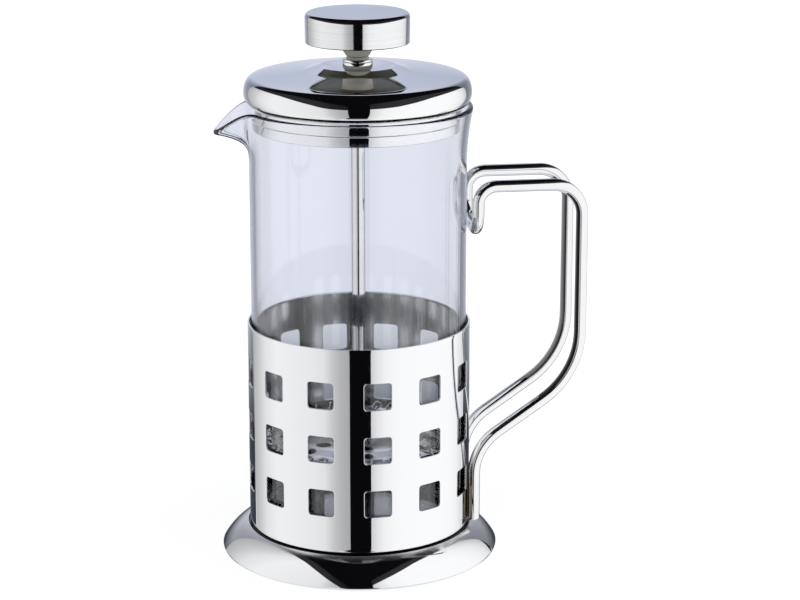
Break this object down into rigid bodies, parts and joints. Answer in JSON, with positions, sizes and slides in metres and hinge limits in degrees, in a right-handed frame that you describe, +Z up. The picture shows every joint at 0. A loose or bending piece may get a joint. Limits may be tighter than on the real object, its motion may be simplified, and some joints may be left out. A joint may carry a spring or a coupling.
{
  "type": "french press",
  "caption": "Small french press coffee maker: a spouted glass beaker in a pierced steel sleeve on a flared foot, with a bent wire handle, a domed lid and a plunger with a sprung filter.",
  "frame": {"origin": "on the table, on the axis of the beaker and plunger", "axes": "+Z up along the axis, +X towards the handle, so the spout is on -X and +Y completes a right-handed set"},
  "size_m": [0.1192, 0.0908, 0.179],
  "materials": {
    "polished_steel": "mirror-polished stainless sheet",
    "polished_wire": "mirror-polished stainless wire",
    "brushed_steel": "fine brushed stainless sheet",
    "filter_steel": "bright rolled stainless sheet",
    "spring_steel": "drawn stainless wire",
    "mesh_steel": "fine woven stainless wire",
    "clear_glass": "clear borosilicate, fire-polished",
    "dark_plastic": "matt moulded",
    "pale_nylon": "smooth moulded",
    "brass": "turned"
  },
  "bodies": {
    "holder": {"foot": "polished_steel", "sleeve": "polished_steel", "handle": "polished_wire"},
    "beaker": {"beaker": "clear_glass"},
    "lid": {"lid_shell": "polished_steel", "lid_skirt": "polished_steel", "guide_collar": "polished_steel", "collar_seat": "pale_nylon", "guide_bush": "pale_nylon", "collar_nut": "filter_steel"},
    "plunger": {"plunger_rod": "polished_wire", "plate_nut": "filter_steel", "spring_plate": "filter_steel", "rim_spring": "spring_steel", "mesh_screen": "mesh_steel"},
    "knob": {"knob_cap": "brushed_steel", "knob_core": "dark_plastic", "knob_stub": "pale_nylon", "knob_insert": "brass"},
    "filter_base": {"cross_plate": "filter_steel", "cross_hub": "filter_steel"}
  },
  "joints": [
    {"name": "beaker_lift", "type": "slide", "parent": "holder", "child": "beaker", "axis": [0, 0, 1], "range_m": [0, 0.14]},
    {"name": "lid_lift", "type": "slide", "parent": "beaker", "child": "lid", "axis": [0, 0, 1], "range_m": [0, 0.16]},
    {"name": "plunger_press", "type": "slide", "parent": "lid", "child": "plunger", "axis": [0, 0, 1], "range_m": [0, 0.098]},
    {"name": "knob_turn", "type": "hinge", "parent": "plunger", "child": "knob", "pos_m": [0, 0, 0.1683], "axis": [0, 0, 1], "continuous": true},
    {"name": "cross_plate_turn", "type": "hinge", "parent": "plunger", "child": "filter_base", "pos_m": [0, 0, 0.0349], "axis": [0, 0, 1], "continuous": true}
  ]
}
